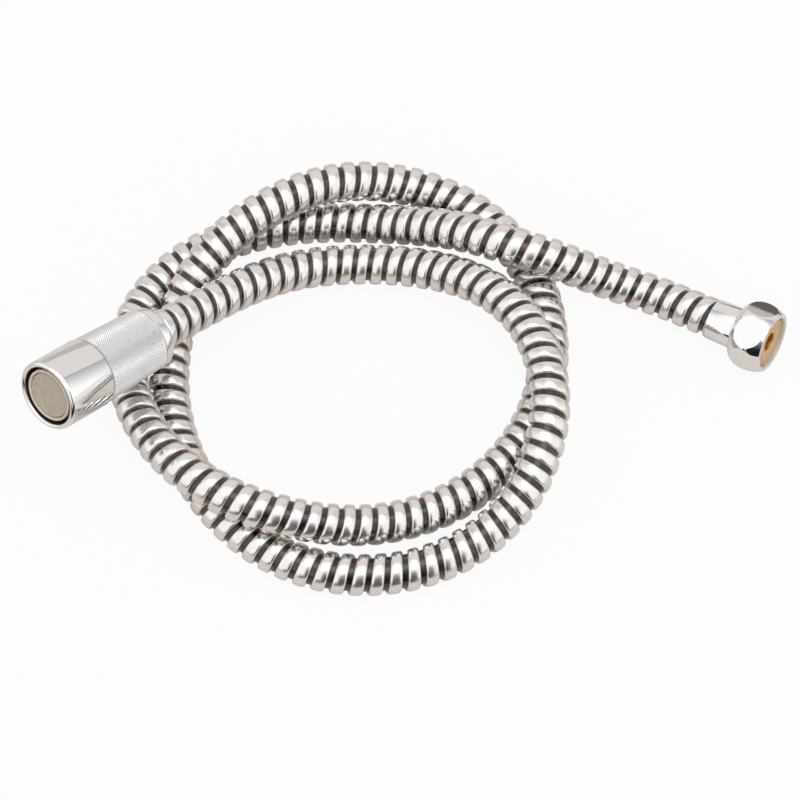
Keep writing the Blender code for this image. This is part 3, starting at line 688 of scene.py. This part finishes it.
def make_strip(line, finishes):
    """The silver strip, wound left-handed from the head and cut off square at the ferrule."""
    section = strip_section()
    half = STRIP_WIDTH / 2
    turns = line.length / STRIP_PITCH
    rows = []
    for i in range(int(turns * STRIP_STEPS) + 1):
        middle = half + STRIP_PITCH * i / STRIP_STEPS
        turn = 2 * math.pi * i / STRIP_STEPS
        row = []
        reached = 0.0
        for across, rise in section:
            distance = middle + across
            if distance < line.length:
                reached = rise
            row.append(line.skin(distance, turn, STRIP_FOOT_RADIUS + min(rise, reached)))
        rows.append(row)
    strip = grid_piece("silver_strip", rows, True)
    strip.data.shade_smooth()
    strip.data.set_sharp_from_angle(angle=math.radians(STRIP_SMOOTH))
    give(strip, finishes["strip"])
    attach(strip, "hose_line")
    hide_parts("hose")
    return strip


def make_hose(finishes):
    """The hose, whose far end meets the fittings that are already made."""
    line = Centreline(hose_line())
    core = make_core(line, finishes)
    strip = make_strip(line, finishes)


# Spray head


def stations():
    """Heights of the head's pieces from its rear face."""
    grip_low = RING_LENGTH + GAP
    grip_high = grip_low + GRIP_LENGTH
    collar_low = grip_high + GAP
    collar_high = collar_low + COLLAR_LENGTH
    return grip_low, grip_high, collar_low, collar_high


def head_piece(piece, finish, body, node):
    """Sets a piece on the head's axis in place of its solid."""
    settle(piece, end_frame(HEAD_REAR, HEAD_AXIS))
    dress(piece, finish, body, node)


def nut_piece(piece, finish, body, node):
    """Sets a piece on the nut's axis in place of its solid."""
    settle(piece, end_frame(FERRULE_MOUTH, NUT_AXIS))
    dress(piece, finish, body, node)


def dress(piece, finish, body, node):
    give(piece, finish)
    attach(piece, body)
    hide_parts(node)


def make_rear_ring(finishes):
    body = GRIP_REAR_RADIUS - GRIP_WALL - GAP
    inner = RING_MOUTH_RADIUS + RING_COUNTERBORE
    spigot = RING_LENGTH + RING_SPIGOT
    corner = (RING_RADIUS - RING_ROUND, RING_ROUND)
    outline = [(RING_MOUTH_RADIUS, 0.0)]
    outline += arc(corner, RING_ROUND, -90, 0, 6)
    outline += [
        (RING_RADIUS, RING_LENGTH),
        (body, RING_LENGTH),
        (body, spigot),
        (inner, spigot),
        (inner, RING_WALL),
        (RING_MOUTH_RADIUS, RING_WALL),
    ]
    ring = turned("polished_rear_ring", outline)
    finish_mesh(ring, POLISHED_EDGE)
    head_piece(ring, finishes["chrome"], "head", "rear_ring")


def make_grip(finishes):
    """The knurled sleeve: every other corner of its skin is sunk, which leaves small pyramids."""
    low, high = stations()[:2]
    bore = GRIP_REAR_RADIUS - GRIP_WALL
    step = GRIP_LENGTH / KNURL_ROWS
    outline = [(bore, low)]
    for row in range(KNURL_ROWS + 1):
        radius = GRIP_REAR_RADIUS + (GRIP_RADIUS - GRIP_REAR_RADIUS) * row / KNURL_ROWS
        outline.append((radius, low + row * step))
    outline.append((bore, high))
    grip = turned("knurled_grip", outline, KNURL_SIDES)
    for corner in grip.data.vertices:
        reach = corner.co.xy.length
        row = round((corner.co.z - low) / step)
        column = round(math.atan2(corner.co.y, corner.co.x) * KNURL_SIDES / (2 * math.pi))
        if reach > bore + SLACK and 0 < row < KNURL_ROWS and (row + column) % 2:
            sunk = 1.0 - KNURL_DEPTH / reach
            corner.co = (corner.co.x * sunk, corner.co.y * sunk, corner.co.z)
    work_on(grip)
    bpy.ops.object.mode_set(mode="EDIT")
    bpy.ops.mesh.select_all(action="SELECT")
    bpy.ops.mesh.quads_convert_to_tris(quad_method="SHORTEST_DIAGONAL")
    bpy.ops.object.mode_set(mode="OBJECT")
    bpy.ops.object.shade_smooth_by_angle(angle=math.radians(KNURL_SMOOTH))
    head_piece(grip, finishes["knurl"], "head", "grip_sleeve")


def make_collar(finishes):
    """The screw collar, with a buffed rim and its bore painted near black, as shade in the gap
    round the insert.
    """
    low, high = stations()[2:]
    socket = HEAD_RADIUS - COLLAR_WALL
    lip_high = high - COLLAR_RECESS
    lip_low = lip_high - LIP_THICKNESS
    wall = HEAD_RADIUS - COLLAR_MOUTH_RADIUS
    outer_round = wall * COLLAR_OUTER_SHARE
    inner_round = wall - outer_round
    outline = [(socket, low), (HEAD_RADIUS, low)]
    outline += arc((HEAD_RADIUS - outer_round, high - outer_round), outer_round, 0, 90, 8)
    middle = (COLLAR_MOUTH_RADIUS + inner_round, high - inner_round)
    outline += arc(middle, inner_round, 90, 180, 6)[1:]
    outline += [
        (COLLAR_MOUTH_RADIUS, lip_high),
        (INSERT_RADIUS + GAP, lip_high),
        (INSERT_RADIUS + GAP, lip_low),
        (socket, lip_low),
    ]
    collar = turned("polished_collar", outline)
    finish_mesh(collar, POLISHED_EDGE)
    mouth = COLLAR_MOUTH_RADIUS + SLACK
    # These bore faces get painted shade, near black
    bore = faces_where(
        collar, lambda reach, place, way: reach < mouth and place.z < high - inner_round
    )
    rim = faces_where(
        collar, lambda reach, place, way: place.z > high - outer_round and way.z > RIM_FACING
    )
    head_piece(collar, finishes["chrome"], "collar", "front_collar")
    finish_faces(collar, rim, finishes["buffed"])
    finish_faces(collar, bore, finishes["bore"])


def insert_stations():
    """Heights of the insert's flange, of its rim and of the screen's two faces."""
    high = stations()[3]
    flange_high = high - COLLAR_RECESS - LIP_THICKNESS - GAP
    rim = high - INSERT_SETBACK
    screen_high = rim - RIM_RAISE
    screen_low = screen_high - SCREEN_THICKNESS
    return flange_high - INSERT_FLANGE, flange_high, rim, screen_low, screen_high


def make_insert_ring(finishes):
    flange_low, flange_high, rim, screen_low, _ = insert_stations()
    ledge = screen_low - GAP - SUPPORT_THICKNESS - GAP
    flange_radius = HEAD_RADIUS - COLLAR_WALL - GAP
    crown = (INSERT_RADIUS - INSERT_SEAT_RADIUS) / 2
    outline = [
        (INSERT_BORE_RADIUS, flange_low),
        (flange_radius, flange_low),
        (flange_radius, flange_high),
        (INSERT_RADIUS, flange_high),
    ]
    outline += arc((INSERT_RADIUS - crown, rim - crown), crown, 0, 180, 8)
    outline += [(INSERT_SEAT_RADIUS, ledge), (INSERT_BORE_RADIUS, ledge)]
    ring = turned("spray_rim", outline, INSERT_SIDES)
    finish_mesh(ring)
    head_piece(ring, finishes["peach"], "insert", "insert_ring")


def make_screen(finishes):
    """Woven wire cloth: wires both ways, each over and under its neighbours."""
    screen_low, screen_high = insert_stations()[3:]
    reach = INSERT_SEAT_RADIUS - GAP
    middle = (screen_low + screen_high) / 2
    curve = bpy.data.curves.new("wire_cloth", "CURVE")
    curve.dimensions = "3D"
    curve.bevel_depth = CLOTH_WIRE / 2
    curve.bevel_resolution = 0
    curve.use_fill_caps = True
    count = int(reach / CLOTH_PITCH)
    for way in range(2):
        for row in range(-count, count + 1):
            side = row * CLOTH_PITCH
            half = math.sqrt(max(reach * reach - side * side, 0.0)) - CLOTH_WIRE / 2
            ends = int(half / CLOTH_PITCH)
            if ends < 1:
                continue
            spline = curve.splines.new("POLY")
            spline.points.add(2 * ends)
            for point, step in zip(spline.points, range(-ends, ends + 1)):
                over = CLOTH_SWING if (row + step + way) % 2 else -CLOTH_SWING
                along = step * CLOTH_PITCH
                if abs(step) == ends:
                    along = math.copysign(half, step)
                place = (along, side) if way else (side, along)
                point.co = (*place, middle + over, 1.0)
    cloth = bpy.data.objects.new("wire_cloth", curve)
    bpy.context.scene.collection.objects.link(cloth)
    work_on(cloth)
    bpy.ops.object.convert(target="MESH")
    cloth = bpy.context.object
    cloth.data.shade_smooth()
    head_piece(cloth, finishes["wire"], "insert", "spray_screen")


# Nut end


def make_ferrule(finishes):
    wall = FERRULE_LENGTH - FERRULE_FRONT_WALL
    outline = [
        (FERRULE_BORE_RADIUS, 0.0),
        (FERRULE_REAR_RADIUS, 0.0),
        (FERRULE_RADIUS, FERRULE_LENGTH),
        (FERRULE_HOLE_RADIUS, FERRULE_LENGTH),
        (FERRULE_HOLE_RADIUS, wall),
        (FERRULE_BORE_RADIUS, wall),
    ]
    ferrule = turned("crimped_ferrule", outline)
    finish_mesh(ferrule, FERRULE_EDGE)
    nut_piece(ferrule, finishes["chrome"], "hose_line", "ferrule")
    return ferrule


def make_nut(finishes):
    """A domed body cut by six flats, which show as round faces."""
    low = FERRULE_LENGTH + GAP
    crest = low + NUT_CREST
    mouth = low + NUT_LENGTH
    shoulder = low + NUT_REAR_WALL
    outline = [(NUT_HOLE_RADIUS, low)]
    for k in range(NUT_DOME_STEPS + 1):
        turn = math.radians(90.0 * k / NUT_DOME_STEPS)
        radius = NUT_REAR_RADIUS + (NUT_RADIUS - NUT_REAR_RADIUS) * math.sin(turn)
        outline.append((radius, crest - NUT_CREST * math.cos(turn)))
    for k in range(1, NUT_FRONT_STEPS + 1):
        share = k / NUT_FRONT_STEPS
        radius = NUT_RADIUS - (NUT_RADIUS - NUT_FRONT_RADIUS) * share * share
        outline.append((radius, crest + (mouth - crest) * share))
    outline += [
        (NUT_THREAD_RADIUS, mouth),
        (NUT_THREAD_RADIUS, shoulder),
        (NUT_HOLE_RADIUS, shoulder),
    ]
    nut = turned("polished_nut", outline)
    deselect_all()
    bpy.ops.mesh.primitive_cylinder_add(
        vertices=NUT_FLAT_SIDES,
        radius=NUT_FLAT,
        depth=3 * NUT_LENGTH,
        location=(0.0, 0.0, crest),
    )
    flats = bpy.context.object
    sixth = math.pi / 3
    for corner in flats.data.vertices:
        turn = math.atan2(corner.co.y, corner.co.x)
        aside = math.tan((turn + sixth / 2) % sixth - sixth / 2)
        fall = NUT_FLAT_FALL * (aside / math.tan(sixth / 2)) ** 2
        reach = NUT_FLAT * math.hypot(1.0, aside) - fall
        turn += NUT_TURN
        corner.co = (reach * math.cos(turn), reach * math.sin(turn), corner.co.z)
    work_on(nut)
    cut = nut.modifiers.new("flats", "BOOLEAN")
    cut.operation = "INTERSECT"
    cut.solver = "EXACT"
    cut.object = flats
    bpy.ops.object.modifier_apply(modifier=cut.name)
    bpy.data.objects.remove(flats, do_unlink=True)
    finish_mesh(nut, 0.0, NUT_SMOOTH)
    # The thread's faces get the pale finish that paints in the light on them
    painted_light_thread = faces_where(
        nut,
        lambda reach, place, way: reach < NUT_THREAD_RADIUS + FINE_SLACK and abs(way.z) < 0.5,
    )
    nut_piece(nut, finishes["chrome"], "nut", "swivel_nut")
    finish_faces(nut, painted_light_thread, finishes["painted_light_thread"])
    return nut


def make_washer(finishes):
    """The flat washer, whose bore shows the brass that it is pressed on."""
    outer = NUT_THREAD_RADIUS - GAP
    outline = [
        (WASHER_BORE_RADIUS, WASHER_LOW),
        (outer, WASHER_LOW),
        (outer, WASHER_LOW + WASHER_THICKNESS),
        (WASHER_BORE_RADIUS, WASHER_LOW + WASHER_THICKNESS),
    ]
    washer = turned("fibre_washer", outline, SMALL_SIDES)
    finish_mesh(washer, WASHER_EDGE)
    lining = faces_where(
        washer, lambda reach, place, way: reach < WASHER_BORE_RADIUS + FINE_SLACK
    )
    nut_piece(washer, finishes["tan"], "hose_line", "sealing_washer")
    finish_faces(washer, lining, finishes["brass"])
    return washer


# What the part's own solids are finished in
SOLID_FINISHES = {
    "inner_tube": "clear",
    "tail_nipple": "brass",
    "head_nipple": "brass",
    "head_body": "brass",
    "head_crimp_sleeve": "brass",
    "nipple_clip": "spring",
    "nipple_o_ring": "rubber",
    "collar_o_ring": "rubber",
    "insert_washer": "rubber",
    "slip_ring": "white",
    "screen_support": "white",
    "diffuser_plate": "white",
}


def finish_solids(finishes):
    for name, finish in SOLID_FINISHES.items():
        solid = bpy.data.objects[name]
        for socket in solid.material_slots:
            socket.material = finishes[finish]


# Floor, light and camera


def floor_tones(nodes, links, x, y, fades):
    """Lighter to the right, darker behind and dark in front, and where the front begins."""
    across, behind, front = (
        ranged(nodes, links, source, *fade, 0.0, 1.0) for source, fade in zip((x, y, y), fades)
    )
    tone = blended(nodes, links, across, LEFT_TONE, RIGHT_TONE)
    tone = blended(nodes, links, behind, tone, BACK_TONE)
    return blended(nodes, links, front, tone, FRONT_TONE), front


def make_floor():
    """A pale sheet that shows white; to metal it glows with painted reflection tones, lighter to
    the right and dark in front.
    """
    deselect_all()
    bpy.ops.mesh.primitive_plane_add(
        size=FLOOR_SIZE, location=(CAMERA_AIM.x, CAMERA_AIM.y, -FLOOR_DROP)
    )
    bpy.ops.object.transform_apply(location=True)
    floor = bpy.context.object
    floor.name = "floor"
    made, nodes, links = bare_material("pale floor")
    paint = nodes.new("ShaderNodeBsdfDiffuse")
    paint.inputs["Color"].default_value = (*FLOOR_PAINT, 1.0)
    glow = nodes.new("ShaderNodeEmission")
    rays = nodes.new("ShaderNodeLightPath")
    x, y, _ = split_place(nodes, links, object_place(nodes))

    tone, front = floor_tones(nodes, links, x, y, FLOOR_FADES)
    # Painted reflection: a dark oval behind the nut, which only metal sees
    spot = oval(nodes, links, x, y, SPOT_PLACE, SPOT_REACH)
    tone = blended(nodes, links, spot, tone, SPOT_TONE)
    seen = math_node(
        nodes, links, "MAXIMUM", rays.outputs["Is Camera Ray"], rays.outputs["Is Transmission Ray"]
    )
    tone = blended(nodes, links, seen, tone, (1.0, 1.0, 1.0))
    links.new(tone, glow.inputs["Color"])

    near = oval(nodes, links, x, y, NEAR_PLACE, NEAR_REACH)
    far = math_node(nodes, links, "SUBTRACT", 1.0, near)
    far = math_node(nodes, links, "MAXIMUM", far, front)
    far = math_node(nodes, links, "MAXIMUM", far, spot)
    far = math_node(nodes, links, "MULTIPLY", far, rays.outputs["Is Glossy Ray"])
    share = math_node(nodes, links, "MULTIPLY", seen, FLOOR_GLOW)
    share = math_node(nodes, links, "MAXIMUM", share, far)
    coat, shine = paint.outputs["BSDF"], glow.outputs["Emission"]
    show_mixed(nodes, links, share, coat, shine, "ShaderNodeOutputMaterial")
    give(floor, made)


def make_card(left, right, height):
    """A dark card that stands in front, past the picture's edge: only metal mirrors it."""
    deselect_all()
    bpy.ops.mesh.primitive_plane_add(
        size=1.0,
        location=((left + right) / 2, CARD_PLACE, height / 2),
        rotation=(math.pi / 2, 0.0, 0.0),
    )
    card = bpy.context.object
    card.name = "front_card"
    card.scale = (right - left, height, 1.0)
    bpy.ops.object.transform_apply(location=True, rotation=True, scale=True)
    made, nodes, links = bare_material("front card")
    x, _, z = split_place(nodes, links, object_place(nodes))
    shown = nodes.new("ShaderNodeLightPath").outputs["Is Glossy Ray"]
    for source, clear_at, full_at in (
        (x, left, left + CARD_EDGE),
        (x, right, right - CARD_EDGE),
        (z, height, CARD_FADE * height),
    ):
        edge = ranged(nodes, links, source, clear_at, full_at, 0.0, 1.0)
        shown = math_node(nodes, links, "MULTIPLY", shown, edge)
    paper = nodes.new("ShaderNodeEmission")
    upwards = ranged(nodes, links, z, CARD_DARK_BELOW, CARD_PALE_ABOVE, 0.0, 1.0)
    tone = blended(nodes, links, upwards, CARD_DARK, CARD_PALE)
    links.new(tone, paper.inputs["Color"])
    clear = nodes.new("ShaderNodeBsdfTransparent").outputs["BSDF"]
    dark = paper.outputs["Emission"]
    show_mixed(nodes, links, shown, clear, dark, "ShaderNodeOutputMaterial")
    give(card, made)


def make_studio():
    """What the camera sees past the floor is white; the rest is what the metal mirrors."""
    world = bpy.data.worlds.new("studio")
    bpy.context.scene.world = world
    world.use_nodes = True
    nodes = world.node_tree.nodes
    links = world.node_tree.links
    nodes.clear()
    way = nodes.new("ShaderNodeTexCoord").outputs["Generated"]
    x, y, z = split_place(nodes, links, way)

    facing = nodes.new("ShaderNodeVectorMath")
    facing.operation = "DOT_PRODUCT"
    facing.inputs[1].default_value = WALL_WAY
    links.new(way, facing.inputs[0])
    wall_side = facing.outputs["Value"]
    shade = ranged(nodes, links, wall_side, SHADE_START, WALL_EDGE, 0.0, 1.0)
    lower = ranged(nodes, links, z, *SHADE_TOP, 1.0, 0.0)
    shade = math_node(nodes, links, "MULTIPLY", shade, lower)
    tone = blended(nodes, links, shade, WHITE_TONE, SHADE_TONE)
    edges = (WALL_EDGE - WALL_SOFTNESS, WALL_EDGE + WALL_SOFTNESS)
    wall = ranged(nodes, links, wall_side, *edges, 0.0, 1.0)
    tone = blended(nodes, links, wall, tone, WALL_TONE)

    # Below the horizon it carries on the floor's tones.
    ground, _ = floor_tones(nodes, links, x, y, HORIZON_FADES)
    below = ranged(nodes, links, z, HORIZON, 0.0, 1.0, 0.0)
    tone = blended(nodes, links, below, tone, ground)

    rays = nodes.new("ShaderNodeLightPath")
    studio = nodes.new("ShaderNodeBackground")
    links.new(tone, studio.inputs["Color"])
    mirrored = rays.outputs["Is Glossy Ray"]
    strength = ranged(nodes, links, mirrored, 0.0, 1.0, PLAIN_STRENGTH, 1.0)
    links.new(strength, studio.inputs["Strength"])
    plain = nodes.new("ShaderNodeBackground")
    plain.inputs["Color"].default_value = (1.0, 1.0, 1.0, 1.0)
    show_mixed(
        nodes,
        links,
        rays.outputs["Is Camera Ray"],
        studio.outputs["Background"],
        plain.outputs["Background"],
        "ShaderNodeOutputWorld",
    )


def make_light():
    lamp = bpy.data.lights.new("overhead softbox", "AREA")
    lamp.shape = "RECTANGLE"
    lamp.size, lamp.size_y = LAMP_SIZE
    lamp.energy = LAMP_POWER
    holder = bpy.data.objects.new("overhead softbox", lamp)
    bpy.context.scene.collection.objects.link(holder)
    holder.location = LAMP_PLACE


def make_camera():
    data = bpy.data.cameras.new("camera")
    data.lens = CAMERA_LENS
    data.sensor_width = SENSOR_WIDTH
    camera = bpy.data.objects.new("camera", data)
    bpy.context.scene.collection.objects.link(camera)
    back = Vector((0.0, -math.cos(CAMERA_ELEVATION), math.sin(CAMERA_ELEVATION)))
    camera.location = CAMERA_AIM + back * CAMERA_DISTANCE
    camera.rotation_euler = (math.pi / 2 - CAMERA_ELEVATION, 0.0, 0.0)
    bpy.context.scene.camera = camera


def main():
    bpy.context.scene.view_settings.view_transform = "Standard"
    make_camera()
    finishes = make_finishes()
    fittings = [make_ferrule(finishes), make_nut(finishes), make_washer(finishes)]
    make_hose(finishes)
    make_rear_ring(finishes)
    make_grip(finishes)
    make_collar(finishes)
    make_insert_ring(finishes)
    make_screen(finishes)
    finish_solids(finishes)
    make_floor()
    for left, right, height in CARDS:
        make_card(left, right, height)
    make_studio()
    make_light()


main()
